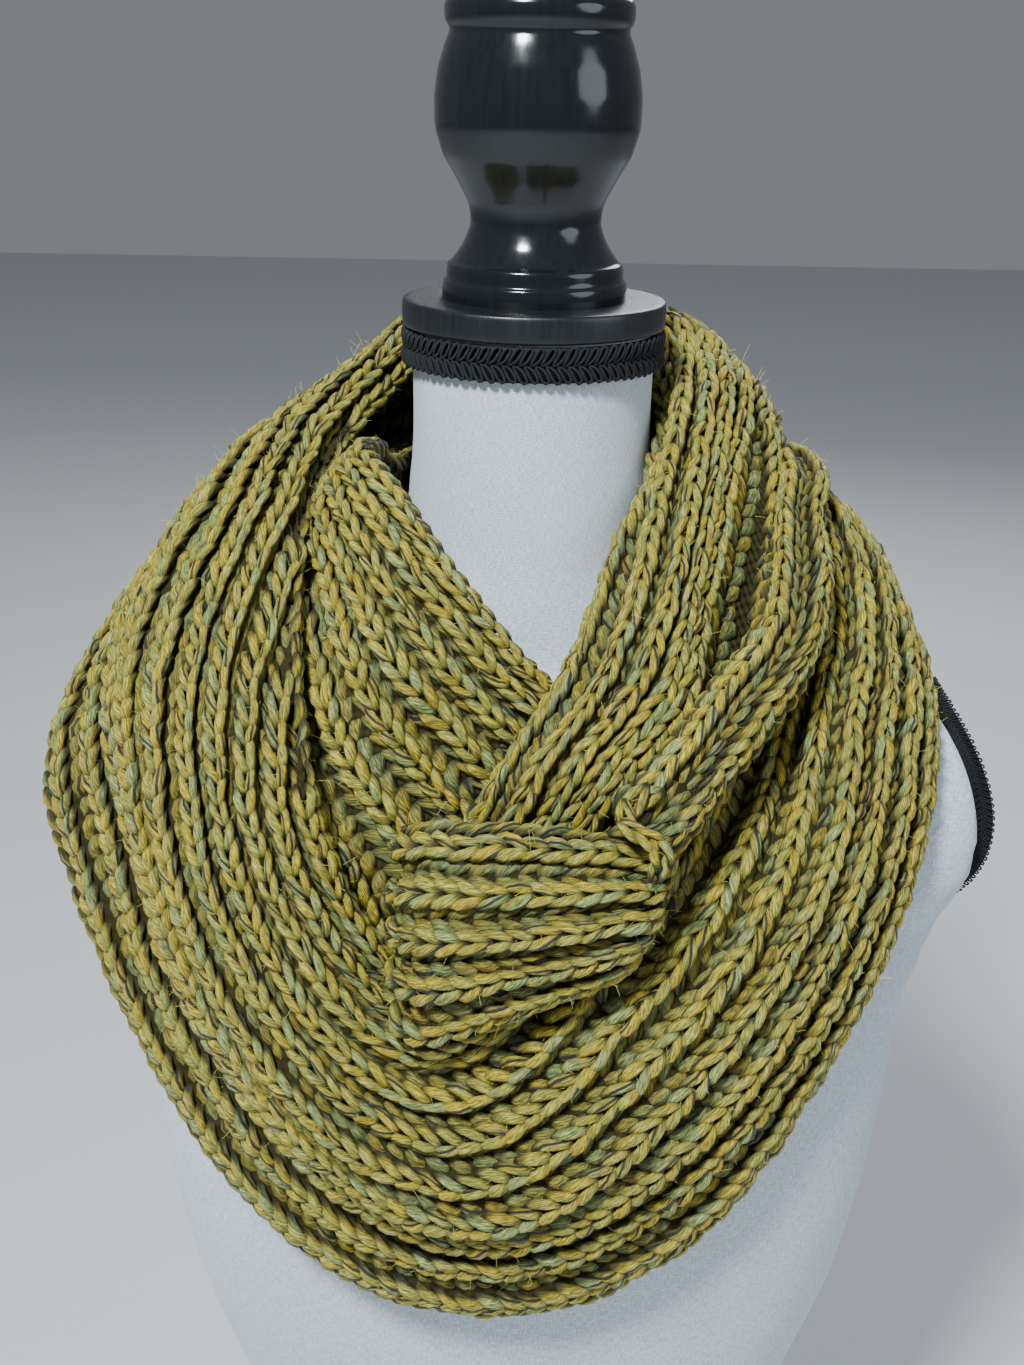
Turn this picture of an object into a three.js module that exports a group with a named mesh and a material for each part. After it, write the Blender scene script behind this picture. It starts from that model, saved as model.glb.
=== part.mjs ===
// A chunky rib-knit infinity scarf, worn doubled on a limbless linen dress form with a turned black neck cap.
// Millimetres, +Z up, front towards -Y. The origin is on the standing surface, under the neck's centre.
import * as THREE from "three";

// Driving sizes of the knitted ribbon
const wall = 3; // the plain inside of the knit
const ribHeight = 4.5; // a raised knit column over the recessed one beside it
const edgeThin = 0.5; // how much thinner the wall is along its two edges
const restGap = 1.8; // between the cloth's inside and the dress form

// Driving sizes of the dress form
const neckRadius = 47;
const neckTop = 668.7;
const capRadius = 51;
const capThick = 10.5;
const partGap = 0.3;
const armPlate = 183; // from the middle to the fullest point of an arm plate
const plateRound = 130; // the larger it is, the flatter the arm plate
const plateDepth = 22; // how far the arm plate curves in before it ends
const neckBraid = { height: 14, thick: 3.6 };
const armBraid = { y: 6, z: 473, halfDeep: 40, halfTall: 42, width: 4, thick: 8.4 };

const yarn = new THREE.MeshStandardMaterial({ color: 0x8c8430, roughness: 0.95, metalness: 0 });
const linen = new THREE.MeshStandardMaterial({ color: 0xd8d8dc, roughness: 0.9, metalness: 0 });
const blackWood = new THREE.MeshStandardMaterial({ color: 0x121316, roughness: 0.3, metalness: 0 });
const blackBraid = new THREE.MeshStandardMaterial({ color: 0x15161a, roughness: 0.7, metalness: 0 });

// The ribbon's course from its hidden start at the chest to its hidden end there.
// A row is one section: the edge next to the neck, the middle and the outer edge.
const course = {
  // From under the V, up to the turned tip on the left
  frontLeft: [
    { inner: [28, -76, 528], middle: [8, -92, 498], outer: [-60, -107, 430] },
    { inner: [-3, -80, 559], middle: [-22, -93, 530], outer: [-75, -102, 472] },
    { inner: [-29, -74, 590], middle: [-48, -89, 561], outer: [-87, -90, 505] },
    { inner: [-48, -58, 612], middle: [-66, -70, 590], outer: [-93, -60, 548] },
    { inner: [-62, -36, 624], middle: [-76, -44, 607], outer: [-93, -36, 576] },
    { inner: [-60, -12, 620], middle: [-72, -16, 612], outer: [-93, -12, 588] },
  ],
  // Lower layer behind the neck
  backUnder: [
    { inner: [-56, 8, 612], middle: [-66, 8, 600], outer: [-96, 16, 570] },
    { inner: [-48, 38, 610], middle: [-60, 48, 586], outer: [-90, 70, 552] },
    { inner: [-22, 56, 606], middle: [-28, 74, 574], outer: [-42, 101, 506] },
    { inner: [12, 58, 604], middle: [14, 79, 569], outer: [18, 106, 490] },
    { inner: [52, 48, 600], middle: [64, 68, 576], outer: [88, 94, 512] },
    { inner: [70, 32, 596], middle: [94, 48, 594], outer: [122, 78, 550] },
  ],
  // Lower turn in front, from the right shoulder across the chest to the left shoulder
  frontDrape: [
    { inner: [78, 14, 588], middle: [111, 22, 600], outer: [140, 57, 556] },
    { inner: [84, -4, 572], middle: [124, -6, 588], outer: [150, 28, 552] },
    { inner: [86, -30, 551], middle: [128, -37, 563], outer: [159, -10, 534] },
    { inner: [77, -58, 530], middle: [122, -71, 534], outer: [158, -50, 508] },
    { inner: [60, -80, 512], middle: [111, -101, 494], outer: [146, -77, 469] },
    { inner: [42, -96, 490], middle: [85, -128, 452], outer: [121, -104, 421] },
    { inner: [20, -110, 468], middle: [46, -146, 413], outer: [77, -127, 356] },
    { inner: [-3, -116, 456], middle: [4, -152, 389], outer: [20, -134, 318] },
    { inner: [-26, -118, 452], middle: [-34, -151, 391], outer: [-42, -133, 317] },
    { inner: [-48, -119, 456], middle: [-76, -144, 422], outer: [-95, -120, 343] },
    { inner: [-69, -115, 492], middle: [-109, -124, 468], outer: [-140, -94, 392] },
    { inner: [-81, -102, 533], middle: [-127, -100, 524], outer: [-172, -64, 442] },
    { inner: [-85, -83, 566], middle: [-132, -72, 562], outer: [-188, -44, 497] },
    { inner: [-86, -50, 600], middle: [-119, -42, 600], outer: [-174, -2, 535] },
    { inner: [-75, -14, 623], middle: [-103, -6, 623], outer: [-148, 42, 556] },
  ],
  // Upper layer behind the neck
  backOver: [
    { inner: [-60, 20, 637], middle: [-78, 28, 637], outer: [-124, 72, 548] },
    { inner: [-46, 40, 647], middle: [-56, 60, 647], outer: [-90, 90, 545] },
    { inner: [-22, 54, 652], middle: [-32, 86, 652], outer: [-42, 100, 548] },
    { inner: [10, 57, 654], middle: [12, 93, 654], outer: [16, 105, 544] },
    { inner: [37, 51, 653], middle: [53, 79, 652], outer: [76, 93, 556] },
    { inner: [52, 35, 653], middle: [72, 56, 653], outer: [104, 70, 590] },
  ],
  // From the right of the neck down to the chest, over the left side
  frontRight: [
    { inner: [54, 24, 647], middle: [74, 36, 650], outer: [100, 34, 624] },
    { inner: [50, 6, 636], middle: [72, 8, 641], outer: [99, 2, 606] },
    { inner: [42, -18, 616], middle: [66, -24, 622], outer: [96, -18, 582] },
    { inner: [30, -54, 580], middle: [55, -66, 587], outer: [86, -50, 550] },
    { inner: [14, -84, 551], middle: [42, -96, 556], outer: [74, -80, 528] },
    { inner: [-10, -106, 519], middle: [18, -116, 530], outer: [50, -102, 508] },
    { inner: [-30, -110, 484], middle: [0, -114, 494], outer: [30, -108, 486] },
  ],
};

// The lower turn's top edge on the right, rolled into a strand that hangs to the chest
const strand = [
  { inner: [98, 28, 610], middle: [104, 24, 614], outer: [110, 29, 611] },
  { inner: [103, 2, 609], middle: [109, -2, 613], outer: [115, 4, 608] },
  { inner: [97, -21, 597], middle: [104, -28, 601], outer: [112, -21, 596] },
  { inner: [93, -46, 585], middle: [102, -55, 588], outer: [111, -47, 580] },
  { inner: [86, -69, 569], middle: [95, -80, 570], outer: [104, -71, 560] },
  { inner: [69, -89, 553], middle: [77, -102, 553], outer: [86, -93, 541] },
  { inner: [52, -109, 538], middle: [59, -122, 536], outer: [66, -114, 523] },
  { inner: [40, -122, 527], middle: [45, -136, 523], outer: [51, -132, 512] },
  { inner: [33, -124, 523], middle: [35, -137, 519], outer: [41, -135, 511] },
];

// The lower turn's top ribs, gathered at the strand's end and folded over at the middle of the chest
const fold = [
  { inner: [47, -124, 512], middle: [44, -128, 494], outer: [36, -127, 474] },
  { inner: [46, -134, 509], middle: [42, -142, 491], outer: [34, -139, 472] },
  { inner: [38, -134, 510], middle: [36, -149, 490], outer: [30, -144, 467] },
  { inner: [26, -134, 513], middle: [24, -153, 490], outer: [21, -147, 463] },
  { inner: [8, -132, 514], middle: [8, -156, 488], outer: [8, -149, 459] },
  { inner: [-15, -132, 515], middle: [-15, -157, 486], outer: [-14, -150, 449] },
  { inner: [-32, -128, 513], middle: [-33, -153, 483], outer: [-30, -151, 439] },
  { inner: [-40, -120, 508], middle: [-43, -141, 479], outer: [-40, -146, 441] },
  { inner: [-36, -112, 504], middle: [-38, -129, 477], outer: [-33, -142, 446] },
];

// Long creases pressed out of or into a stretch, between two of its sections
const creases = [
  { on: "frontDrape", from: 0, to: 5, across: 0.24, spread: 0.16, lift: -9 },
  { on: "frontDrape", from: 4, to: 9, across: 0.14, spread: 0.14, lift: 8 },
  { on: "frontDrape", from: 5, to: 15, across: 0.58, spread: 0.12, lift: 5 },
  { on: "frontDrape", from: 5, to: 13, across: 0.78, spread: 0.1, lift: -6 },
  { on: "frontRight", from: 0.5, to: 4, across: 0.68, spread: 0.14, lift: -5 },
  { on: "frontLeft", from: 0.5, to: 4, across: 0.62, spread: 0.1, lift: -3 },
];

// How finely each stretch is stepped along its length, and how many of its ribs show
const stretches = {
  frontLeft: { steps: 14, ribs: 7 },
  backUnder: { steps: 14, ribs: 8 },
  frontDrape: { steps: 40, ribs: 10 },
  backOver: { steps: 14, ribs: 8 },
  frontRight: { steps: 16, ribs: 6 },
  frontStrand: { steps: 16, ribs: 2 },
  frontFold: { steps: 20, ribs: 5 },
};

// The torso, one row for each level: half width, half depth, where its middle lies and how square it is
const torso = [
  { z: 0, wide: 148, deep: 102, mid: 4, square: 2.2 },
  { z: 45, wide: 141, deep: 98, mid: 4, square: 2.2 },
  { z: 85, wide: 124, deep: 88, mid: 2, square: 2.2 },
  { z: 125, wide: 113, deep: 79, mid: -2, square: 2.2 },
  { z: 165, wide: 118, deep: 82, mid: -5, square: 2.2 },
  { z: 210, wide: 133, deep: 91, mid: -8, square: 2.2 },
  { z: 260, wide: 147, deep: 101, mid: -11, square: 2.2 },
  { z: 310, wide: 155, deep: 108, mid: -12, square: 2.3 },
  { z: 360, wide: 160, deep: 111, mid: -10, square: 2.4 },
  { z: 405, wide: 166, deep: 108, mid: -5, square: 2.5 },
  { z: 424, wide: 177, deep: 104.5, mid: -2, square: 2.3 },
  { z: 436, wide: 184, deep: 102, mid: 0, square: 2.2 },
  { z: 458, wide: 206, deep: 97, mid: 3, square: 2.1 },
  { z: 480, wide: 214, deep: 91, mid: 6, square: 2.1 },
  { z: 502, wide: 208, deep: 83, mid: 8, square: 2.1 },
  { z: 520, wide: 184, deep: 75, mid: 9, square: 2.1 },
  { z: 535, wide: 144, deep: 68, mid: 9, square: 2.1 },
  { z: 548, wide: 104, deep: 61, mid: 7, square: 2.1 },
  { z: 562, wide: 74, deep: 56, mid: 4, square: 2 },
  { z: 582, wide: 54, deep: 51, mid: 2, square: 2 },
  { z: 615, wide: 47.5, deep: 47.5, mid: 0, square: 2 },
  { z: neckTop, wide: neckRadius, deep: neckRadius, mid: 0, square: 2 },
];

// The turned cap's outline: radius, and height over the neck's top
const capOutline = [
  [0, 0], [capRadius - 1, 0], [capRadius, 1], [capRadius, capThick - 1], [capRadius - 1, capThick],
  [35.5, capThick], [35.5, 17], [34, 18], [34, 23.5], [32, 24.5], [27.5, 31], [24.7, 38], [25.4, 45],
  [30, 54], [35.5, 63], [38.6, 73], [38.8, 84], [37.4, 94], [34.6, 103], [32.8, 107],
  [35, 110], [35.2, 116], [31, 121], [26.5, 122], [26.5, 134], [24, 139], [14, 143], [0, 144.5],
];

// The torso's level at a height between two rows
function levelAt(z) {
  const next = torso.findIndex((level) => level.z > z);
  if (next < 0) return torso[torso.length - 1];
  if (next === 0) return torso[0];
  const low = torso[next - 1];
  const high = torso[next];
  const t = (z - low.z) / (high.z - low.z);
  const mix = (key) => low[key] + t * (high[key] - low[key]);
  return { z, wide: mix("wide"), deep: mix("deep"), mid: mix("mid"), square: mix("square") };
}

// How far out an arm plate lies at a height: it is flat from front to back and rounded from top to bottom
function plateAt(z) {
  const lean = (z - armBraid.z) ** 2 / plateRound;
  return lean < plateDepth ? armPlate - lean : Infinity;
}

// Moves a point that is too near the dress form straight out from its middle, until it has that much room
function keepClear(point, room) {
  const { wide, deep, mid, square } = levelAt(point.z);
  if (Math.abs(point.x) > plateAt(point.z) + room) return point;
  const x = Math.abs(point.x) / (wide + room);
  const y = Math.abs(point.y - mid) / (deep + room);
  const reach = (x ** square + y ** square) ** (1 / square);
  if (reach < 1) {
    point.x /= reach;
    point.y = mid + (point.y - mid) / reach;
  }
  return point;
}

// A coordinate between the second and third of four in a row, on a smooth curve through all of them
function smooth(a, b, c, d, t) {
  return b + 0.5 * t * (c - a + t * (2 * a - 5 * b + 4 * c - d + t * (3 * (b - c) + d - a)));
}

function onRail(rows, rail, at) {
  const last = rows.length - 1;
  const i = Math.min(Math.floor(at), last - 1);
  const point = (k) => rows[Math.min(Math.max(k, 0), last)][rail];
  const coordinate = (axis) =>
    smooth(point(i - 1)[axis], point(i)[axis], point(i + 1)[axis], point(i + 2)[axis], at - i);
  return new THREE.Vector3(coordinate(0), coordinate(1), coordinate(2));
}

// A point of the ribbon's surface: along counts sections, across runs from 0 at the neck edge to 1 at the outer
function onRibbon(rows, along, across) {
  return onRail(rows, "inner", along)
    .multiplyScalar((1 - across) * (1 - 2 * across))
    .addScaledVector(onRail(rows, "middle", along), 4 * across * (1 - across))
    .addScaledVector(onRail(rows, "outer", along), across * (2 * across - 1));
}

function outwards(rows, along, across) {
  const nudge = 0.01;
  const ahead = onRibbon(rows, along + nudge, across);
  const behind = onRibbon(rows, along - nudge, across);
  const right = onRibbon(rows, along, across + nudge);
  const left = onRibbon(rows, along, across - nudge);
  return ahead.sub(behind).cross(right.sub(left)).normalize();
}

function creaseLift(name, along, across) {
  let lift = 0;
  for (const crease of creases.filter((c) => c.on === name)) {
    const t = (along - crease.from) / (crease.to - crease.from);
    if (t <= 0 || t >= 1) continue;
    const offset = (across - crease.across) / crease.spread;
    lift += crease.lift * Math.min(1, 4 * t, 4 * (1 - t)) * Math.exp(-offset * offset);
  }
  return lift;
}

// Points across the outer face: the floor beside each rib and the rib's two shoulders
function acrossOuter(count) {
  const points = [];
  for (let rib = 0; rib < count; rib++) {
    points.push({ across: rib / count, lift: 0 });
    points.push({ across: (rib + 0.3) / count, lift: ribHeight });
    points.push({ across: (rib + 0.7) / count, lift: ribHeight });
  }
  points.push({ across: 1, lift: 0 });
  return points;
}

// One stretch as a closed wall: ribs raised on its outer face over a plain inside
function knitWall(name, rows, from, to) {
  const { steps: stepCount, ribs: ribCount } = stretches[name];
  const firstRow = Math.round(from);
  const outer = acrossOuter(ribCount);
  const inner = outer.filter((point, j) => j % 3 === 0).map(({ across }) => ({ across, lift: -wall }));
  const faces = [outer, inner];
  const position = [];
  for (const face of faces) {
    for (let i = 0; i <= stepCount; i++) {
      const along = from + ((to - from) * i) / stepCount;
      const section = along - firstRow;
      for (const { across, lift } of face) {
        const atEdge = across === 0 || across === 1;
        const thin = atEdge ? Math.sign(lift + 1) * edgeThin : 0;
        const total = lift - thin;
        const raised = total + creaseLift(name, section, across);
        const point = onRibbon(rows, along, across);
        point.addScaledVector(outwards(rows, along, across), raised);
        keepClear(point, restGap + wall + total);
        position.push(point.x, point.y, point.z);
      }
    }
  }
  const index = [];
  const quad = (a, b, c, d) => index.push(a, b, c, a, c, d);
  const top = (i, j) => i * outer.length + j;
  const under = (i, j) => (stepCount + 1) * outer.length + i * inner.length + j;
  for (let i = 0; i < stepCount; i++) {
    for (let j = 0; j < outer.length - 1; j++)
      quad(top(i, j), top(i + 1, j), top(i + 1, j + 1), top(i, j + 1));
    for (let j = 0; j < ribCount; j++)
      quad(under(i, j), under(i, j + 1), under(i + 1, j + 1), under(i + 1, j));
    const e = outer.length - 1;
    quad(top(i, 0), under(i, 0), under(i + 1, 0), top(i + 1, 0));
    quad(top(i, e), top(i + 1, e), under(i + 1, ribCount), under(i, ribCount));
  }
  for (let rib = 0; rib < ribCount; rib++) {
    const j = 3 * rib;
    const n = stepCount;
    index.push(under(0, rib), top(0, j), top(0, j + 1));
    index.push(under(0, rib), top(0, j + 1), top(0, j + 2));
    index.push(under(0, rib), top(0, j + 2), under(0, rib + 1));
    index.push(top(0, j + 2), top(0, j + 3), under(0, rib + 1));
    index.push(under(n, rib), top(n, j + 1), top(n, j));
    index.push(under(n, rib), top(n, j + 2), top(n, j + 1));
    index.push(under(n, rib), under(n, rib + 1), top(n, j + 2));
    index.push(top(n, j + 2), under(n, rib + 1), top(n, j + 3));
  }
  return solid(position, index);
}

function solid(position, index) {
  const geometry = new THREE.BufferGeometry();
  geometry.setAttribute("position", new THREE.Float32BufferAttribute(position, 3));
  geometry.setIndex(index);
  geometry.computeVertexNormals();
  return geometry;
}

// The torso's skin, flat at its top and base and cut by the two arm plates
function torsoSkin(sides) {
  const position = [];
  for (const { z, wide, deep, mid, square } of torso)
    for (let k = 0; k < sides; k++) {
      const angle = (2 * Math.PI * (k + 0.5)) / sides;
      const reach = (v) => Math.sign(v) * Math.abs(v) ** (2 / square);
      const x = Math.max(-plateAt(z), Math.min(plateAt(z), wide * reach(Math.cos(angle))));
      position.push(x, mid + deep * reach(Math.sin(angle)), z);
    }
  const index = [];
  const last = torso.length - 1;
  for (let i = 0; i < last; i++)
    for (let k = 0; k < sides; k++) {
      const a = i * sides + k;
      const b = i * sides + ((k + 1) % sides);
      index.push(a, b, b + sides, a, b + sides, a + sides);
    }
  const base = position.length / 3;
  position.push(0, torso[0].mid, torso[0].z, 0, torso[last].mid, torso[last].z);
  for (let k = 0; k < sides; k++) {
    const next = (k + 1) % sides;
    index.push(base, next, k);
    index.push(base + 1, last * sides + k, last * sides + next);
  }
  return solid(position, index);
}

// A closed turning about the neck's centre line
function turned(outline, sides, z) {
  const geometry = new THREE.LatheGeometry(outline.map(([r, h]) => new THREE.Vector2(r, h)), sides);
  geometry.rotateX(Math.PI / 2);
  geometry.translate(0, 0, z);
  return geometry;
}

function neckTrim() {
  const { height, thick } = neckBraid;
  const near = neckRadius + 0.5 + partGap;
  const far = near + thick;
  const outline = [[near, 0], [far - 1, 0], [far, 1], [far, height - 1], [far - 1, height], [near, height], [near, 0]];
  return turned(outline, 40, neckTop - height);
}

// The braid that lies on an arm plate, as an oval ring
function armTrim(side) {
  const { y, z, halfDeep, halfTall, width, thick } = armBraid;
  const sides = 32;
  const corners = [
    { out: 0, over: 2 * partGap },
    { out: width, over: 2 * partGap },
    { out: width, over: thick - 1 },
    { out: width / 2, over: thick },
    { out: 0, over: thick - 1 },
  ];
  const position = [];
  for (let k = 0; k < sides; k++) {
    const angle = (side * 2 * Math.PI * k) / sides;
    for (const { out, over } of corners) {
      const height = z + (halfTall + out) * Math.sin(angle);
      position.push(side * (plateAt(height) + over), y + (halfDeep + out) * Math.cos(angle), height);
    }
  }
  const index = [];
  const n = corners.length;
  for (let k = 0; k < sides; k++)
    for (let j = 0; j < n; j++) {
      const a = k * n + j;
      const b = k * n + ((j + 1) % n);
      const c = ((k + 1) % sides) * n + ((j + 1) % n);
      const d = ((k + 1) % sides) * n + j;
      index.push(a, d, c, a, c, b);
    }
  return solid(position, index);
}

function piece(name, geometry, material) {
  const mesh = new THREE.Mesh(geometry, material);
  mesh.name = name;
  return mesh;
}

const dressForm = new THREE.Group();
dressForm.add(
  piece("torso", torsoSkin(44), linen),
  piece("neckBraid", neckTrim(), blackBraid),
  piece("armBraidLeft", armTrim(-1), blackBraid),
  piece("armBraidRight", armTrim(1), blackBraid),
  piece("neckCap", turned(capOutline, 28, neckTop + partGap), blackWood),
);

const scarf = new THREE.Group();
const whole = Object.values(course).flat();
let first = 0;
for (const [name, rows] of Object.entries(course)) {
  const last = Math.min(first + rows.length, whole.length - 1);
  const hold = 0.013; // a share of a section, kept off each end for the gap
  scarf.add(piece(name, knitWall(name, whole, first + hold, last - hold), yarn));
  first += rows.length;
}
scarf.add(
  piece("frontStrand", knitWall("frontStrand", strand, 0, strand.length - 1), yarn),
  piece("frontFold", knitWall("frontFold", fold, 0, fold.length - 1), yarn),
);

const part = new THREE.Group();
part.add(dressForm, scarf);
export default part;
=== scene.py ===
import bpy
import math
import numpy as np
from mathutils import Matrix, Vector


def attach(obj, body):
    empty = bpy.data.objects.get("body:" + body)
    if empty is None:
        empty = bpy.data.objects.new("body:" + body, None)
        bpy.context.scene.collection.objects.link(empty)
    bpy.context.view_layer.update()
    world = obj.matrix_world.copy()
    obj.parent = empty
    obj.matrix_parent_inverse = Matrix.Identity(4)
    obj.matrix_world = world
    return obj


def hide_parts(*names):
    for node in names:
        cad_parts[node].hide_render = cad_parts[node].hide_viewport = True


# A chunky rib-knit infinity scarf, worn doubled on a limbless linen dress form with a turned black neck cap.
# Metres, +Z up, front towards -Y, the origin on the standing surface under the neck's centre.

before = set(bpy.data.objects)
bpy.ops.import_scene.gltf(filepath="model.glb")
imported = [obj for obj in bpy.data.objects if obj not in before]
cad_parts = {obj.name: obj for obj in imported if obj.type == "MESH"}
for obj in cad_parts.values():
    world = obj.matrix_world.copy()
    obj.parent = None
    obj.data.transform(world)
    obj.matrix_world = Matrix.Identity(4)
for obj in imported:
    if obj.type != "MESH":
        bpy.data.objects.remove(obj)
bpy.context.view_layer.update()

cloth = {
    "groundRib": 0.0034,  # how far the knit's ground rises under a raised column
    "wall": 0.003,
    "edgeThin": 0.0005,
    "restGap": 0.0018,  # between the cloth's inside and the dress form
    "stepLong": 0.004,  # of the ground's mesh along the ribbon
    "stepsAcross": 80,
    "hold": 0.013,  # each stretch stops this share of a section short of the next one
    "ridge": 3.0,  # how narrow the ground's rise is under a column
    "lineHeight": 0.003,  # where a column's length is measured, over the floor
    "lineSteps": 60,  # of a measured column, for each section
    "sectionLong": 0.05,  # of the ground's pattern, in metres
    "flatWide": 0.2,
}

# how many of a stretch's ribs show; the rest of the ribbon's width is turned under
ribsShown = {"frontStrand": 2, "frontFold": 5}

# the same along the whole chain of stretches: section, ribs that show there, and ribs turned under
# at the neck edge
chainRibs = np.array([
    (0, 7, 0), (5, 7, 0), (7, 8, 0), (12, 8, 0), (15, 7, 1), (18, 7.5, 0.5), (20.5, 10, -2), (22.5, 10, -2),
    (25, 7.5, 0.5), (27, 8, 0), (31, 8, 0), (34, 6, 0), (39, 6, 0),
])

# how the last stretch's ribs crowd together: an even place across, and the place it takes
crowded = np.array([
    (0, 0), (0.083, 0.05), (0.25, 0.28), (0.417, 0.45), (0.583, 0.58), (0.75, 0.68), (0.917, 0.94), (1, 1),
])
crowdedFrom = (33.5, 35.0)  # the sections over which they do so

# the ribbon's course: each row is a section with its neck edge, its middle and its outer edge
course = {
    "frontLeft": [
        ((0.028, -0.076, 0.528), (0.008, -0.092, 0.498), (-0.06, -0.107, 0.43)),
        ((-0.003, -0.08, 0.559), (-0.022, -0.093, 0.53), (-0.075, -0.102, 0.472)),
        ((-0.029, -0.074, 0.59), (-0.048, -0.089, 0.561), (-0.087, -0.09, 0.505)),
        ((-0.048, -0.058, 0.612), (-0.066, -0.07, 0.59), (-0.093, -0.06, 0.548)),
        ((-0.062, -0.036, 0.624), (-0.076, -0.044, 0.607), (-0.093, -0.036, 0.576)),
        ((-0.06, -0.012, 0.62), (-0.072, -0.016, 0.612), (-0.093, -0.012, 0.588)),
    ],
    "backUnder": [
        ((-0.056, 0.008, 0.612), (-0.066, 0.008, 0.6), (-0.096, 0.016, 0.57)),
        ((-0.048, 0.038, 0.61), (-0.06, 0.048, 0.586), (-0.09, 0.07, 0.552)),
        ((-0.022, 0.056, 0.606), (-0.028, 0.074, 0.574), (-0.042, 0.101, 0.506)),
        ((0.012, 0.058, 0.604), (0.014, 0.079, 0.569), (0.018, 0.106, 0.49)),
        ((0.052, 0.048, 0.6), (0.064, 0.068, 0.576), (0.088, 0.094, 0.512)),
        ((0.07, 0.032, 0.596), (0.094, 0.048, 0.594), (0.122, 0.078, 0.55)),
    ],
    "frontDrape": [
        ((0.078, 0.014, 0.588), (0.111, 0.022, 0.6), (0.14, 0.057, 0.556)),
        ((0.084, -0.004, 0.572), (0.124, -0.006, 0.588), (0.15, 0.028, 0.552)),
        ((0.086, -0.03, 0.551), (0.128, -0.037, 0.563), (0.159, -0.01, 0.534)),
        ((0.077, -0.058, 0.53), (0.122, -0.071, 0.534), (0.158, -0.05, 0.508)),
        ((0.06, -0.08, 0.512), (0.111, -0.101, 0.494), (0.146, -0.077, 0.469)),
        ((0.042, -0.096, 0.49), (0.085, -0.128, 0.452), (0.121, -0.104, 0.421)),
        ((0.02, -0.11, 0.468), (0.046, -0.146, 0.413), (0.077, -0.127, 0.356)),
        ((-0.003, -0.116, 0.456), (0.004, -0.152, 0.389), (0.02, -0.134, 0.318)),
        ((-0.026, -0.118, 0.452), (-0.034, -0.151, 0.391), (-0.042, -0.133, 0.317)),
        ((-0.048, -0.119, 0.456), (-0.076, -0.144, 0.422), (-0.095, -0.12, 0.343)),
        ((-0.069, -0.115, 0.492), (-0.109, -0.124, 0.468), (-0.14, -0.094, 0.392)),
        ((-0.081, -0.102, 0.533), (-0.127, -0.1, 0.524), (-0.172, -0.064, 0.442)),
        ((-0.085, -0.083, 0.566), (-0.132, -0.072, 0.562), (-0.188, -0.044, 0.497)),
        ((-0.086, -0.05, 0.6), (-0.119, -0.042, 0.6), (-0.174, -0.002, 0.535)),
        ((-0.075, -0.014, 0.623), (-0.103, -0.006, 0.623), (-0.148, 0.042, 0.556)),
    ],
    "backOver": [
        ((-0.06, 0.02, 0.637), (-0.078, 0.028, 0.637), (-0.124, 0.072, 0.548)),
        ((-0.046, 0.04, 0.647), (-0.056, 0.06, 0.647), (-0.09, 0.09, 0.545)),
        ((-0.022, 0.054, 0.652), (-0.032, 0.086, 0.652), (-0.042, 0.1, 0.548)),
        ((0.01, 0.057, 0.654), (0.012, 0.093, 0.654), (0.016, 0.105, 0.544)),
        ((0.037, 0.051, 0.653), (0.053, 0.079, 0.652), (0.076, 0.093, 0.556)),
        ((0.052, 0.035, 0.653), (0.072, 0.056, 0.653), (0.104, 0.07, 0.59)),
    ],
    "frontRight": [
        ((0.054, 0.024, 0.647), (0.074, 0.036, 0.65), (0.1, 0.034, 0.624)),
        ((0.05, 0.006, 0.636), (0.072, 0.008, 0.641), (0.099, 0.002, 0.606)),
        ((0.042, -0.018, 0.616), (0.066, -0.024, 0.622), (0.096, -0.018, 0.582)),
        ((0.03, -0.054, 0.58), (0.055, -0.066, 0.587), (0.086, -0.05, 0.55)),
        ((0.014, -0.084, 0.551), (0.042, -0.096, 0.556), (0.074, -0.08, 0.528)),
        ((-0.01, -0.106, 0.519), (0.018, -0.116, 0.53), (0.05, -0.102, 0.508)),
        ((-0.03, -0.11, 0.484), (0, -0.114, 0.494), (0.03, -0.108, 0.486)),
    ],
}

# the lower turn's top edge on the right, rolled into a strand
strand = [
    ((0.098, 0.028, 0.61), (0.104, 0.024, 0.614), (0.11, 0.029, 0.611)),
    ((0.103, 0.002, 0.609), (0.109, -0.002, 0.613), (0.115, 0.004, 0.608)),
    ((0.097, -0.021, 0.597), (0.104, -0.028, 0.601), (0.112, -0.021, 0.596)),
    ((0.093, -0.046, 0.585), (0.102, -0.055, 0.588), (0.111, -0.047, 0.58)),
    ((0.086, -0.069, 0.569), (0.095, -0.08, 0.57), (0.104, -0.071, 0.56)),
    ((0.069, -0.089, 0.553), (0.077, -0.102, 0.553), (0.086, -0.093, 0.541)),
    ((0.052, -0.109, 0.538), (0.059, -0.122, 0.536), (0.066, -0.114, 0.523)),
    ((0.04, -0.122, 0.527), (0.045, -0.136, 0.523), (0.051, -0.132, 0.512)),
    ((0.033, -0.124, 0.523), (0.035, -0.137, 0.519), (0.041, -0.135, 0.511)),
]

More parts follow.
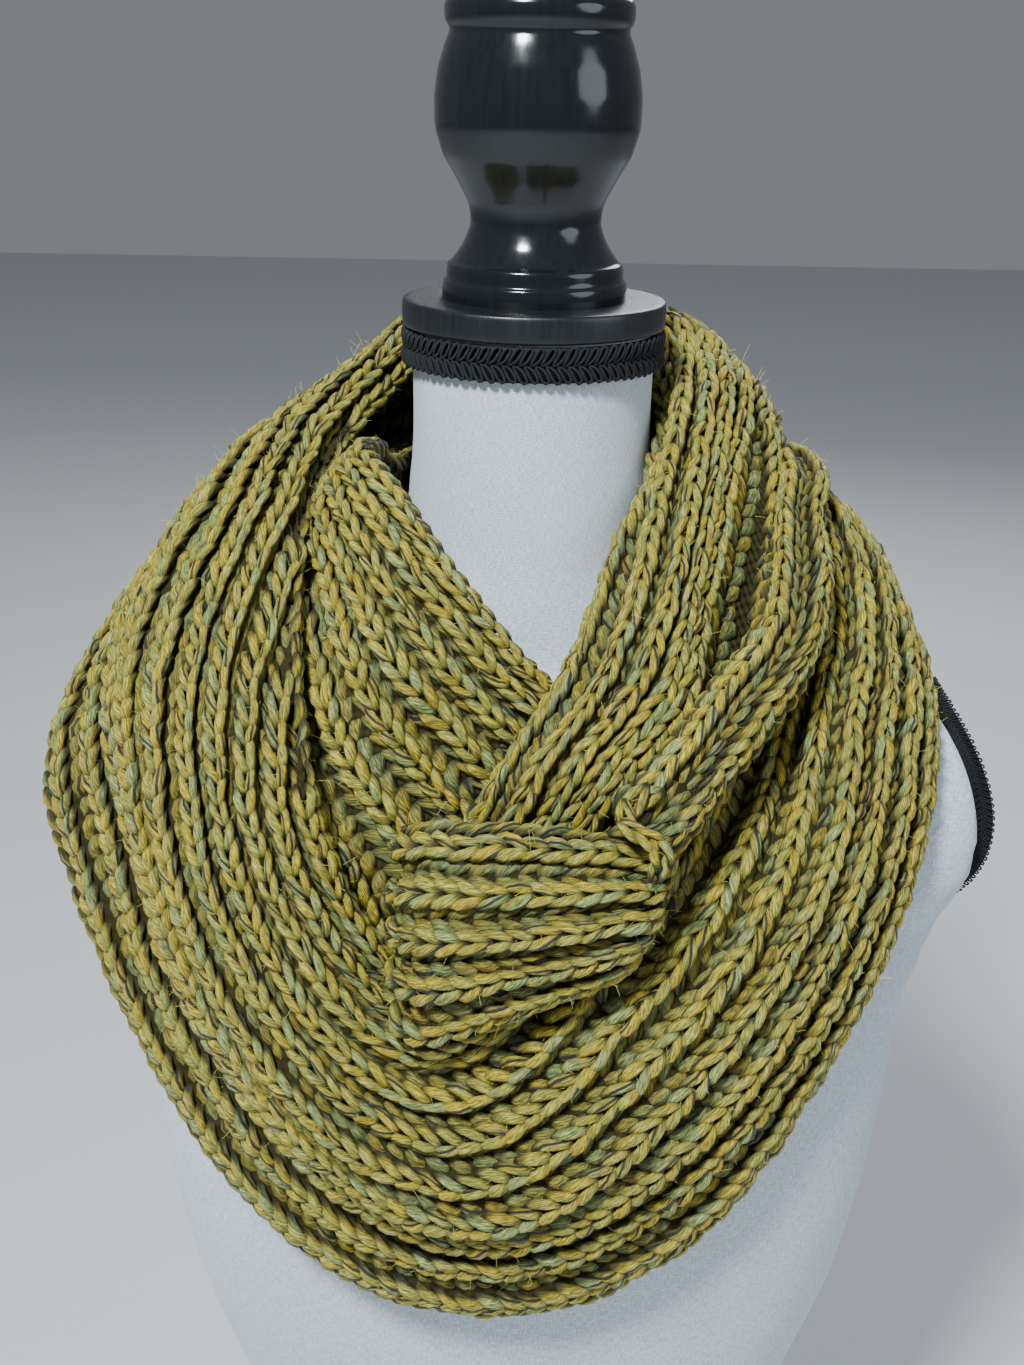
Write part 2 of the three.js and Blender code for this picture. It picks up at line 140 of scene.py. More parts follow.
# the lower turn's top ribs, gathered under the strand and folded over at the chest
fold = [
    ((0.047, -0.124, 0.512), (0.044, -0.128, 0.494), (0.036, -0.127, 0.474)),
    ((0.046, -0.134, 0.509), (0.042, -0.142, 0.491), (0.034, -0.139, 0.472)),
    ((0.038, -0.134, 0.51), (0.036, -0.149, 0.49), (0.03, -0.144, 0.467)),
    ((0.026, -0.134, 0.513), (0.024, -0.153, 0.49), (0.021, -0.147, 0.463)),
    ((0.008, -0.132, 0.514), (0.008, -0.156, 0.488), (0.008, -0.149, 0.459)),
    ((-0.015, -0.132, 0.515), (-0.015, -0.157, 0.486), (-0.014, -0.15, 0.449)),
    ((-0.032, -0.128, 0.513), (-0.033, -0.153, 0.483), (-0.03, -0.151, 0.439)),
    ((-0.04, -0.12, 0.508), (-0.043, -0.141, 0.479), (-0.04, -0.146, 0.441)),
    ((-0.036, -0.112, 0.504), (-0.038, -0.129, 0.477), (-0.033, -0.142, 0.446)),
]

# long creases: stretch, first and last section, place across, spread across, lift
creases = [
    ("frontDrape", 0, 5, 0.24, 0.16, -0.009),
    ("frontDrape", 4, 9, 0.14, 0.14, 0.008),
    ("frontDrape", 5, 15, 0.58, 0.12, 0.005),
    ("frontDrape", 5, 13, 0.78, 0.1, -0.006),
    ("frontRight", 0.5, 4, 0.68, 0.14, -0.005),
    ("frontLeft", 0.5, 4, 0.62, 0.1, -0.003),
]

# the torso's levels: height, half width, half depth, middle, squareness
torsoLevels = [
    (0, 0.148, 0.102, 0.004, 2.2),
    (0.045, 0.141, 0.098, 0.004, 2.2),
    (0.085, 0.124, 0.088, 0.002, 2.2),
    (0.125, 0.113, 0.079, -0.002, 2.2),
    (0.165, 0.118, 0.082, -0.005, 2.2),
    (0.21, 0.133, 0.091, -0.008, 2.2),
    (0.26, 0.147, 0.101, -0.011, 2.2),
    (0.31, 0.155, 0.108, -0.012, 2.3),
    (0.36, 0.16, 0.111, -0.01, 2.4),
    (0.405, 0.166, 0.108, -0.005, 2.5),
    (0.424, 0.177, 0.1045, -0.002, 2.3),
    (0.436, 0.184, 0.102, 0, 2.2),
    (0.458, 0.206, 0.097, 0.003, 2.1),
    (0.48, 0.214, 0.091, 0.006, 2.1),
    (0.502, 0.208, 0.083, 0.008, 2.1),
    (0.52, 0.184, 0.075, 0.009, 2.1),
    (0.535, 0.144, 0.068, 0.009, 2.1),
    (0.548, 0.104, 0.061, 0.007, 2.1),
    (0.562, 0.074, 0.056, 0.004, 2),
    (0.582, 0.054, 0.051, 0.002, 2),
    (0.615, 0.0475, 0.0475, 0, 2),
    (0.6687, 0.047, 0.047, 0, 2),
]

# the turned cap's outline: radius, and height over the neck's top
capOutline = [
    (0, 0), (0.05, 0), (0.051, 0.001), (0.051, 0.0095), (0.05, 0.0105), (0.0355, 0.0105),
    (0.0355, 0.017), (0.034, 0.018), (0.034, 0.0235), (0.032, 0.0245), (0.0275, 0.031),
    (0.0247, 0.038), (0.0254, 0.045), (0.03, 0.054), (0.0355, 0.063), (0.0386, 0.073),
    (0.0388, 0.084), (0.0374, 0.094), (0.0346, 0.103), (0.0328, 0.107), (0.035, 0.11),
    (0.0352, 0.116), (0.031, 0.121), (0.0265, 0.122), (0.0265, 0.134), (0.024, 0.139),
    (0.014, 0.143), (0, 0.1445),
]

form = {
    "neckRadius": 0.047,
    "neckTop": 0.6687,
    "capGap": 0.0003,
    "capDisc": 0.0105,  # up to this height the cap is the satin disc
    "armPlate": 0.183,
    "plateCurve": 0.13,
    "plateReach": 0.022,
    "plateHalf": 0.049,  # beyond this height from its middle the plate runs out into the side
    "plateEdge": 0.1645,
    "plateSpread": 0.08,
    "noPlate": 9.0,  # a half width that cuts nothing
    "sides": 168,
    "levelStep": 0.004,
    "curved": 0.7,  # the smooth curve's share between two levels; the rest is straight
    "clothRound": 0.8,  # of weave round the form, in metres
    "capSides": 96,
    "capRim": 0.0355,  # of the ring that stands on the disc
    "capSunk": 0.002,  # the finial's foot goes this far into the disc
    "capCorner": 0.0012,
    "cornerShare": 0.25,
}

neckBraid = {
    "radius": 0.0497,
    "low": 0.6547,
    "high": 0.6687,
    "band": 0.0017,
    "bandIn": 0.0006,  # the band is this much narrower than the braid at each edge
    "loopsOut": 0.0004,
    "pitch": 0.0040,
    "size": 1.0,
    "seed": 40,
}
armBraid = {
    "y": 0.006,
    "z": 0.473,
    "halfDeep": 0.040,
    "halfTall": 0.042,
    "width": 0.004,
    "bandInside": 0.0002,
    "bandIn": 0.0004,  # the band is this much narrower than the braid on its outer side
    "low": 0.0008,
    "high": 0.0080,
    "pitch": 0.0025,
    "size": 0.62,
    "seed": 60,
}
bandSteps = 96

torsoRows = np.array(torsoLevels)
allRows = np.array([row for rows in course.values() for row in rows])


# shared shape maths


def plateAt(z):
    lean = (z - armBraid["z"]) ** 2 / form["plateCurve"]
    return np.where(lean < form["plateReach"], form["armPlate"] - lean, form["noPlate"])


def keepClear(points, room):
    # moves points that are too near the dress form straight out from its middle
    x, y, z = points.T
    wide, deep, mid, square = (np.interp(z, torsoRows[:, 0], torsoRows[:, k]) for k in range(1, 5))
    outX = np.abs(x) / (wide + room)
    outY = np.abs(y - mid) / (deep + room)
    reach = (outX ** square + outY ** square) ** (1 / square)
    near = (reach < 1) & (np.abs(x) <= plateAt(z) + room)
    push = np.where(near, 1 / np.maximum(reach, 1e-6), 1.0)
    return np.stack([x * push, mid + (y - mid) * push, z], axis=1)


def onRail(rows, rail, at):
    # a smooth curve through one edge or the middle of the rows
    last = len(rows) - 1
    i = np.minimum(np.floor(at).astype(int), last - 1)
    a, b, c, d = (rows[np.clip(i + k, 0, last), rail] for k in (-1, 0, 1, 2))
    t = (at - i)[:, None]
    return b + 0.5 * t * (c - a + t * (2 * a - 5 * b + 4 * c - d + t * (3 * (b - c) + d - a)))


def onRibbon(rows, along, across):
    # across, a parabola through the neck edge, the middle and the outer edge
    u = across[:, None]
    return (onRail(rows, 0, along) * (1 - u) * (1 - 2 * u) + onRail(rows, 1, along) * 4 * u * (1 - u)
            + onRail(rows, 2, along) * u * (2 * u - 1))


def unit(v):
    return v / np.maximum(np.linalg.norm(v, axis=1, keepdims=True), 1e-9)


def ribbonWays(rows, along, across, nudge=0.01):
    # the way forward, the way across with its true length, and the way out
    ahead = onRibbon(rows, along + nudge, across) - onRibbon(rows, along - nudge, across)
    right = (onRibbon(rows, along, across + nudge) - onRibbon(rows, along, across - nudge)) / (2 * nudge)
    return unit(ahead), right, unit(np.cross(ahead, right))


def creaseLift(name, section, across):
    lift = np.zeros(len(section))
    for on, start, end, place, spread, height in creases:
        if on == name:
            t = (section - start) / (end - start)
            fade = np.clip(4 * np.minimum(t, 1 - t), 0, 1)  # over a quarter of its length at each end
            lift += height * fade * np.exp(-(((across - place) / spread) ** 2))
    return lift


def liftedPoints(stretch, along, across, lift):
    # points of a stretch at a height over its floor, clear of the dress form
    name, rows, first = stretch["name"], stretch["rows"], stretch["first"]
    out = ribbonWays(rows, along, across)[2]
    raised = lift + creaseLift(name, along - first, across)
    points = onRibbon(rows, along, across) + out * raised[:, None]
    return keepClear(points, cloth["restGap"] + cloth["wall"] + lift)


def softNoise(points, size, seed):
    # six smooth waves in turned directions, mostly from -1 to 1
    pick = np.random.default_rng(seed)
    total = np.zeros(len(points))
    for _ in range(6):
        way = pick.normal(size=3)
        way /= np.linalg.norm(way)
        wave = points @ way * (2 * math.pi / size)
        total += np.sin(wave * pick.uniform(0.6, 1.5) + pick.uniform(0, 6.28))
    return total / 3.2


def meshObject(name, points, faces, smooth=True, uvs=None):
    mesh = bpy.data.meshes.new(name)
    mesh.from_pydata([tuple(p) for p in points], [], faces)
    if uvs is not None:
        layer = mesh.uv_layers.new(name="cloth")
        layer.data.foreach_set("uv", np.asarray(uvs, float).ravel())
    mesh.validate()
    if smooth:
        mesh.shade_smooth()
    made = bpy.data.objects.new(name, mesh)
    bpy.context.scene.collection.objects.link(made)
    return made


def tube(path, radii, sides, closed=False):
    # a closed tube along a path; a corner's uv is (length share along, turn round)
    path = np.asarray(path, float)
    count = len(path)
    if closed:
        ways = np.roll(path, -1, 0) - np.roll(path, 1, 0)
    else:
        ways = np.gradient(path, axis=0)
    ways = unit(ways)
    side = np.array([0.0, 0.0, 1.0])
    points = []
    for k in range(count):
        side = side - ways[k] * (side @ ways[k])
        side = side / np.linalg.norm(side)
        other = np.cross(ways[k], side)
        for j in range(sides):
            turn = 2 * math.pi * j / sides
            points.append(path[k] + radii[k] * (math.cos(turn) * side + math.sin(turn) * other))
    faces, uvs = [], []
    rings = count if closed else count - 1
    for k in range(rings):
        for j in range(sides):
            a, b = k * sides + j, k * sides + (j + 1) % sides
            c, d = ((k + 1) % count) * sides + (j + 1) % sides, ((k + 1) % count) * sides + j
            faces.append((a, b, c, d))
            v0, v1 = j / sides, (j + 1) / sides
            uvs += [(k / rings, v0), (k / rings, v1), ((k + 1) / rings, v1), ((k + 1) / rings, v0)]
    if not closed:
        for ring, tip, flip in ((0, path[0] - ways[0] * radii[0] * 0.5, True),
                                (count - 1, path[-1] + ways[-1] * radii[-1] * 0.5, False)):
            points.append(tip)
            end = len(points) - 1
            for j in range(sides):
                a, b = ring * sides + j, ring * sides + (j + 1) % sides
                faces.append((end, b, a) if flip else (end, a, b))
                uvs += [(ring / rings, j / sides)] * 3
    return points, faces, uvs


# shader maths


class Wire:
    # a socket that takes Python's operators
    def __init__(self, paint, socket):
        self.paint = paint
        self.socket = socket

    def maths(self, operation, *values):
        return self.paint.node("ShaderNodeMath", {"operation": operation}, dict(enumerate(values))).out()

    def __add__(self, other):
        return self.maths("ADD", self, other)

    def __sub__(self, other):
        return self.maths("SUBTRACT", self, other)

    def __rsub__(self, other):
        return self.maths("SUBTRACT", other, self)

    def __mul__(self, other):
        return self.maths("MULTIPLY", self, other)

    def __lt__(self, other):
        return self.maths("LESS_THAN", self, other)

    __radd__ = __add__
    __rmul__ = __mul__

    def sine(self):
        return self.maths("SINE", self)

    def part(self):
        return self.maths("FRACT", self)

    def size(self):
        return self.maths("ABSOLUTE", self)

    def between(self, low, high):
        # a soft step from 0 at low to 1 at high
        return self.paint.node("ShaderNodeMapRange", {"interpolation_type": "SMOOTHSTEP", "clamp": True},
                               {"Value": self, "From Min": low, "From Max": high}).out()


class Made:
    def __init__(self, paint, node):
        self.paint = paint
        self.node = node

    def out(self, key=0):
        return Wire(self.paint, self.node.outputs[key])


class Paint:
    # one material; every node is made by node()
    def __init__(self, name):
        self.material = bpy.data.materials.new(name)
        self.material.use_nodes = True
        self.tree = self.material.node_tree
        self.tree.nodes.clear()

    def node(self, kind, settings=None, values=None):
        made = self.tree.nodes.new(kind)
        for key, value in (settings or {}).items():
            setattr(made, key, value)
        for key, value in (values or {}).items():
            if isinstance(value, Wire):
                self.tree.links.new(value.socket, made.inputs[key])
            else:
                made.inputs[key].default_value = value
        return Made(self, made)

    def mix(self, share, first, second):
        # two colours, each a wire or four numbers
        return self.node("ShaderNodeMix", {"data_type": "RGBA"}, {0: share, 6: first, 7: second}).out(2)

    # multiplies a colour by another: on the yarn this lays painted shade, on the linen random blotches
    def multiplyBy(self, share, colour, other):
        return self.node("ShaderNodeMix", {"data_type": "RGBA", "blend_type": "MULTIPLY"},
                         {0: share, 6: colour, 7: other}).out(2)

    def noise(self, vector, scale, detail=2.0, roughness=0.5):
        return self.node("ShaderNodeTexNoise", {}, {
            "Vector": vector, "Scale": scale, "Detail": detail, "Roughness": roughness,
        }).out()

    def vector(self, x, y, z):
        return self.node("ShaderNodeCombineXYZ", {}, {0: x, 1: y, 2: z}).out()

    def attribute(self, name):
        return self.node("ShaderNodeAttribute", {"attribute_name": name}).out("Fac")

    def uv(self, name):
        mapped = self.node("ShaderNodeUVMap", {"uv_map": name}).out()
        split = self.node("ShaderNodeSeparateXYZ", {}, {0: mapped})
        return split.out(0), split.out(1)

    def place(self):
        return self.node("ShaderNodeTexCoord").out("Object")

    def bump(self, height, strength, distance):
        return self.node("ShaderNodeBump", {}, {
            "Height": height, "Strength": strength, "Distance": distance,
        }).out()

    def finish(self, **values):
        named = {key.replace("_", " "): value for key, value in values.items()}
        shader = self.node("ShaderNodeBsdfPrincipled", {}, named).out()
        self.node("ShaderNodeOutputMaterial", {}, {"Surface": shader})
        return self.material


# materials

yarnLook = {
    "mustard": (0.86, 0.67, 0.040, 1),
    "deepMustard": (0.120, 0.088, 0.004, 1),
    "sage": (0.060, 0.088, 0.020, 1),
    "paleSage": (0.54, 0.64, 0.21, 1),
    "dark": (0.006, 0.007, 0.014, 1),
    # the knit's ground is painted near black, as painted shade deep between the columns; the paler one only
    # varies its tone
    "ground": (0.018, 0.015, 0.005, 1),
    "groundShadePale": (0.045, 0.040, 0.014, 1),
    "driftScale": 38.0,
    "driftOnMarl": 0.6,
    "marlTurn": 0.45,  # turns round a leg in its length
    "marlBand": (0.30, 0.70),
    "sageLeg": (0.32, 0.62),  # of sage in a sage leg: all over it, and more in its band
    "sageInMustard": 0.40,
    "fibreTurn": 0.5,
    "fibreStretch": (1.6, 1.9),  # of the long fibres' pattern: along the leg, and round it
    "fibreNoise": (3.4, 4.0, 0.65),  # scale, detail, roughness
    "fibreBand": (0.38, 0.70),
    "threadTurn": 0.35,
    "threadEdge": (0.05, 0.14),
    "threadShare": 0.72,  # of the legs that show the dark thread
    "threadDepth": 0.95,
    "endFade": (0.02, 0.34),  # of a leg's length
    "endShade": (0.24, 0.82),
    "topFade": (-0.25, 0.60),  # of the stitch's thickness
    "topShade": (0.22, 0.90),
    "driftShade": (0.72, 0.46),
    "plies": 2.0,
    "plyTurn": 1.3,
    "relief": (0.45, 1.1, 0.35),  # of the plies, the fibres and the dark thread
    "roughness": 0.56,
    "bump": 0.9,
    "bumpDepth": 0.0010,
}
fullTurn = 6.2832


def shading(span, share):
    # a factor that goes from the first number up by the second
    return span[0] + span[1] * share


# the last argument multiplies the whole colour, as painted shade for a copy that lies in the recesses
def yarnPaint(name, sageShare, recessShade):
    look = yarnLook
    paint = Paint(name)
    length, turn = paint.uv("cloth")
    shade = paint.attribute("shade")
    leg = paint.attribute("leg")
    # uneven multiples of a stitch's own number give each leg numbers of its own
    pick = (shade * 61.7 + leg * 0.437).part()
    other = (shade * 137.3 + leg * 0.711).part()
    drift = paint.noise(paint.place(), look["driftScale"], 2.0)
    # the marl turns slowly round the leg, so each leg is mostly one colour
    twist = (turn + length * look["marlTurn"] + other).part()
    sageLeg = (pick + (drift - 0.5) * look["driftOnMarl"]) < sageShare
    sageBand = ((twist - 0.5).size() * 2.0).between(*look["marlBand"])
    sageMix = sageLeg * shading(look["sageLeg"], sageBand) + (1 - sageLeg) * sageBand * look["sageInMustard"]
    # long fibres that wind round the leg
    wound = (turn + length * look["fibreTurn"]) * fullTurn
    seedPlace = shade * 90.0 + leg * 11.0
    stretchLong, stretchRound = look["fibreStretch"]
    place = paint.vector(length * stretchLong + seedPlace, wound.sine() * stretchRound,
                         (wound + fullTurn / 4).sine() * stretchRound)
    fibres = paint.noise(place, *look["fibreNoise"])
    fine = fibres.between(*look["fibreBand"])
    mustard = paint.mix(fine, look["deepMustard"], look["mustard"])
    sage = paint.mix(fine, look["sage"], look["paleSage"])
    colour = paint.mix(sageMix, mustard, sage)
    thread = (turn + length * look["threadTurn"] + pick * 3.1).part()
    threadGap = ((thread - 0.5).size() * 2.0).between(*look["threadEdge"])
    threadLine = (1 - threadGap) * (other < look["threadShare"])
    colour = paint.mix(threadLine * look["threadDepth"], colour, look["dark"])
    # painted shade: the ends and the lower flanks of a leg are painted darker, where they lie in their
    # neighbours' shade; the drift only varies the tone at random, and the last factor paints the recessed
    # copy darker still
    top = paint.attribute("rise").between(*look["topFade"])
    ends = length.between(*look["endFade"]) * (1 - length).between(*look["endFade"])
    paintedShadeAndDrift = shading(look["endShade"], ends) * shading(look["topShade"], top)
    paintedShadeAndDrift = paintedShadeAndDrift * shading(look["driftShade"], drift) * recessShade
    colour = paint.multiplyBy(1.0, colour, paint.vector(paintedShadeAndDrift, paintedShadeAndDrift, paintedShadeAndDrift))
    plies = ((turn * look["plies"] + length * look["plyTurn"] + shade * 7.0) * fullTurn).sine()
    plyRelief, fibreRelief, threadRelief = look["relief"]
    height = plies * plyRelief + fibres * fibreRelief - threadLine * threadRelief
    return paint.finish(Base_Color=colour, Roughness=look["roughness"], Specular_IOR_Level=0.50,
                        Sheen_Weight=0.06, Sheen_Roughness=0.5, Sheen_Tint=(0.75, 0.80, 0.40, 1),
                        Normal=paint.bump(height, look["bump"], look["bumpDepth"]))


def fibrePaint():
    paint = Paint("looseFibre")
    share = paint.noise(paint.place(), 260.0, 1.0).between(0.35, 0.65)
    colour = paint.mix(share, yarnLook["mustard"], yarnLook["paleSage"])
    return paint.finish(Base_Color=colour, Roughness=0.7, Specular_IOR_Level=0.3)


groundRow, groundStitch = 0.0048, 0.006  # of the knit that is seen deep between the columns


def groundPaint():
    paint = Paint("knitGroundShade")
    along, across = paint.uv("cloth")
    rows = (along * (fullTurn / groundRow)).sine() * (across * (fullTurn / groundStitch)).sine()
    drift = paint.noise(paint.place(), 160.0, 3.0)
    # painted shade: the knit deep between the columns is painted near black, with noise for random tone
    colour = paint.mix(drift, yarnLook["ground"], yarnLook["groundShadePale"])
    return paint.finish(Base_Color=colour, Roughness=0.95, Specular_IOR_Level=0.1,
                        Normal=paint.bump(rows * 0.5 + drift, 0.8, 0.0012))


linenLook = {
    "between": (0.46, 0.52, 0.57, 1),  # the colour between the threads
    "thread": (0.74, 0.82, 0.89, 1),
    "blotch": (0.82, 0.82, 0.86, 1),
    "fine": 2600.0,  # threads are this fine across themselves, for each metre
    "long": 300.0,
}


def linenPaint():
    paint = Paint("linenCover")
    across, up = paint.uv("cloth")
    fine, long = linenLook["fine"], linenLook["long"]
    weft = paint.noise(paint.vector(across * long, up * fine, 0.0), 1.0, 2.0)
    warp = paint.noise(paint.vector(across * fine, up * long, 3.0), 1.0, 2.0)
    threads = weft * 0.5 + warp * 0.5
    blotch = paint.noise(paint.place(), 9.0, 3.0)
    colour = paint.mix(threads.between(0.40, 0.60), linenLook["between"], linenLook["thread"])
    colour = paint.multiplyBy(0.5, colour, paint.mix(blotch, linenLook["blotch"], (1, 1, 1, 1)))
    return paint.finish(Base_Color=colour, Roughness=0.9, Specular_IOR_Level=0.25,
                        Sheen_Weight=0.2, Normal=paint.bump(threads, 0.8, 0.0006))


woodLook = {
    "deep": (0.004, 0.005, 0.006, 1),
    "light": (0.010, 0.012, 0.015, 1),
    "streakAcross": 420.0,
    "streakAlong": 30.0,
}


def woodPaint(name, rough, grain):
    paint = Paint(name)
    split = paint.node("ShaderNodeSeparateXYZ", {}, {0: paint.place()})
    across, along = woodLook["streakAcross"], woodLook["streakAlong"]
    place = paint.vector(split.out(0) * across, split.out(1) * across, split.out(2) * along)
    streaks = paint.noise(place, 1.0, 3.0)
    colour = paint.mix(streaks, woodLook["deep"], woodLook["light"])
    return paint.finish(Base_Color=colour, Roughness=rough + (streaks - 0.5) * grain,
                        Specular_IOR_Level=0.5, Normal=paint.bump(streaks, grain, 0.0004))


braidLook = {"deep": (0.004, 0.005, 0.007), "light": (0.016, 0.019, 0.025), "twists": 26.0}


def braidPaint(name, shadeOf):
    paint = Paint(name)
    length, turn = paint.uv("cloth")
    twist = ((turn * 2.0 + length * braidLook["twists"]) * fullTurn).sine()
    fine = paint.noise(paint.place(), 900.0, 2.0)
    deep, light = (tuple(part * shadeOf for part in braidLook[key]) + (1,) for key in ("deep", "light"))
    colour = paint.mix(fine, deep, light)
    return paint.finish(Base_Color=colour, Roughness=0.62, Specular_IOR_Level=0.3, Sheen_Weight=0.05,
                        Normal=paint.bump(twist * 0.5 + fine * 0.5, 0.6, 0.0003))


paints = {
    "raised": yarnPaint("yarnRaised", 0.33, 1.0),
    # painted shade: the recessed copy's colour is multiplied by 0.58, for the shade deep between the raised
    # columns
    "recessed": yarnPaint("yarnRecessed", 0.60, 0.58),
    "ground": groundPaint(),
    "fibre": fibrePaint(),
    "linen": linenPaint(),
    "disc": woodPaint("satinBlack", 0.38, 0.25),
    "finial": woodPaint("glossBlack", 0.14, 0.06),
    "braid": braidPaint("braidCord", 0.55),
    "band": braidPaint("braidBand", 0.25),
}
print("materials made:", len(paints))

# the knit's ground, one finer shell for each stretch

stretches = []
firstRow = 0
for name, rows in course.items():
    end = min(firstRow + len(rows), len(allRows) - 1)
    stretches.append({"name": name, "rows": allRows, "first": firstRow, "from": firstRow + cloth["hold"],
                      "to": end - cloth["hold"]})
    firstRow += len(rows)
for name, rows in (("frontStrand", strand), ("frontFold", fold)):
    stretches.append({"name": name, "rows": np.array(rows), "first": 0, "from": 0.0, "to": len(rows) - 1.0})


def ribsAt(stretch, along):
    # how many ribs show, and how many are turned under at the neck edge
    if stretch["name"] in ribsShown:
        return np.full(len(along), float(ribsShown[stretch["name"]])), np.zeros(len(along))
    return tuple(np.interp(along, chainRibs[:, 0], chainRibs[:, k]) for k in (1, 2))


def crowding(stretch, along, share, start, end):
    # reads the crowded table from one of its columns to the other
    if stretch["name"] in ribsShown:
        return share
    fade = np.clip((along - crowdedFrom[0]) / (crowdedFrom[1] - crowdedFrom[0]), 0, 1)
    return share + (np.interp(share, crowded[:, start], crowded[:, end]) - share) * fade


def acrossOf(stretch, along, column):
    # the place across of a column that is counted in ribs
    ribs, hidden = ribsAt(stretch, along)
    return crowding(stretch, along, (column - hidden) / ribs, 0, 1)


def columnLine(stretch, column, start, end):
    # along-values close together, and the arc length at each
    along = np.linspace(start, end, max(int((end - start) * cloth["lineSteps"]), 40))
    across = np.clip(acrossOf(stretch, along, column), 0, 1)
    points = liftedPoints(stretch, along, across, np.full(len(along), cloth["lineHeight"]))
    length = np.concatenate([[0], np.cumsum(np.linalg.norm(np.diff(points, axis=0), axis=1))])
    return along, length


def groundShell(stretch):
    # a closed thin shell, ribbed on its outer side and plain inside
    middle = ribsAt(stretch, np.array([stretch["from"]]))[0][0] / 2
    length = columnLine(stretch, middle, stretch["from"], stretch["to"])[1]
    stretch["length"] = float(length[-1])
    longSteps = max(int(length[-1] / cloth["stepLong"]), 12)
    wideSteps = cloth["stepsAcross"]
    along = np.linspace(stretch["from"], stretch["to"], longSteps + 1)
    across = np.linspace(0, 1, wideSteps + 1)
    gridAlong, gridAcross = (g.ravel() for g in np.meshgrid(along, across, indexing="ij"))
    edge = np.clip(np.minimum(gridAcross, 1 - gridAcross) * wideSteps / 2, 0, 1)
    ribs, hidden = ribsAt(stretch, gridAlong)
    column = hidden + ribs * crowding(stretch, gridAlong, gridAcross, 1, 0)
    rise = cloth["groundRib"] * edge * (0.5 - 0.5 * np.cos(2 * math.pi * column)) ** cloth["ridge"]
    thin = cloth["edgeThin"] * (1 - edge)
    top = liftedPoints(stretch, gridAlong, gridAcross, rise - thin)
    under = liftedPoints(stretch, gridAlong, gridAcross, -cloth["wall"] + thin)
    points = np.concatenate([top, under])
    lay = wideSteps + 1
    half = len(top)
    faces = []
    for i in range(longSteps):
        for j in range(wideSteps):
            a, b, c, d = i * lay + j, (i + 1) * lay + j, (i + 1) * lay + j + 1, i * lay + j + 1
            faces.append((a, b, c, d))
            faces.append((half + a, half + d, half + c, half + b))
        a, b = i * lay, (i + 1) * lay
        faces.append((a, half + a, half + b, b))
        a, b = i * lay + wideSteps, (i + 1) * lay + wideSteps
        faces.append((a, b, half + b, half + a))
    for j in range(wideSteps):
        faces.append((j, j + 1, half + j + 1, half + j))
        k = longSteps * lay + j
        faces.append((k, half + k, half + k + 1, k + 1))
    flatPlaces = np.stack([gridAlong * cloth["sectionLong"], gridAcross * cloth["flatWide"]], 1)
    flatUv = np.concatenate([flatPlaces, flatPlaces])
    uvs = [flatUv[v] for face in faces for v in face]
    shell = meshObject(stretch["name"] + "Ground", points, faces, True, uvs)
    shell.data.materials.append(paints["ground"])
    return shell


grounds = {stretch["name"]: groundShell(stretch) for stretch in stretches}
print("grounds made:", len(grounds))

# stitches

stitch = {
    "pitch": 0.0080,  # from one stitch to the next in a column
    "halfWide": 0.0035,  # of the stitch that is built, out to its leg's middle
    "thick": 0.0040,
    "sides": 6,
    "raisedLift": 0.0040,
    "recessedLift": -0.0008,
    "raisedWide": (0.66, 0.0082, 0.0104),  # share of a rib's pitch, least and most
    "recessedWide": (0.80, 0.0066, 0.0165),
    "edgeWide": (0.5, 0.0075, 0.0095),
    "edgeLift": 0.0004,
    "insideLift": -0.0024,
    "firstAt": 0.6,  # of a pitch, from the ribbon's end
    "edgeRoom": 0.3,  # of a rib, in which no other column is made
    "edgeTilt": 1.1,
    "thickShare": 0.40,  # of a column's width
    "thickLeast": 0.0032,
    "thickMost": 0.0043,
    "legOut": 0.86,  # of the half width, where a leg's middle lies
    "turn": 0.10,
    "vary": 0.08,
    "shake": 0.0007,
    "shakeSize": 0.021,
}

curl = {
    "path": [(0.043, -0.134, 0.530), (0.037, -0.139, 0.531), (0.033, -0.143, 0.528), (0.034, -0.147, 0.524),
             (0.039, -0.150, 0.522), (0.043, -0.152, 0.520), (0.045, -0.152, 0.515), (0.044, -0.150, 0.508)],
    "pitch": 0.0056,
    "facing": (-0.15, -0.85, 0.5),
    "size": (0.78, 0.85, 0.85),
}

fibre = {
    "each": 3,
    "scatter": 0.0012,
    "standOff": 0.0012,
    "lean": 1.1,
    "width": 0.00008,
    "length": (0.0020, 0.0055),
    "bend": (0.12, 0.5),  # of its length, at its middle and its end
}

# a leg's middle line, in half widths, pitches and thicknesses, and its thickness there
legPath = [(0.56, -0.74, -0.80, 0.66), (0.84, -0.48, -0.26, 0.92), (0.90, -0.14, 0.14, 1.04),
           (0.70, 0.22, 0.26, 1.04), (0.40, 0.58, 0.10, 0.98), (0.12, 0.96, -0.58, 0.72)]


def stitchMesh():
    # a knit stitch: two legs, the mirror of each other, that lie in a V
    points, faces, uvs, legs = [], [], [], []
    for leg, side in enumerate((1, -1)):
        scale = (side * stitch["halfWide"], stitch["pitch"], stitch["thick"])
        path = [(x * scale[0], y * scale[1], z * scale[2]) for x, y, z, _ in legPath]
        radii = [row[3] * stitch["thick"] / 2 for row in legPath]
        legPoints, legFaces, legUvs = tube(path, radii, stitch["sides"])
        start = len(points)
        points += legPoints
        faces += [tuple(start + v for v in face) for face in legFaces]
        uvs += legUvs
        legs += [float(leg)] * len(legPoints)
    made = meshObject("stitchShape", points, faces, True, uvs)
    made.data.attributes.new("leg", "FLOAT", "POINT").data.foreach_set("value", legs)
    rises = [point[2] / stitch["thick"] for point in points]
    made.data.attributes.new("rise", "FLOAT", "POINT").data.foreach_set("value", rises)
    return made


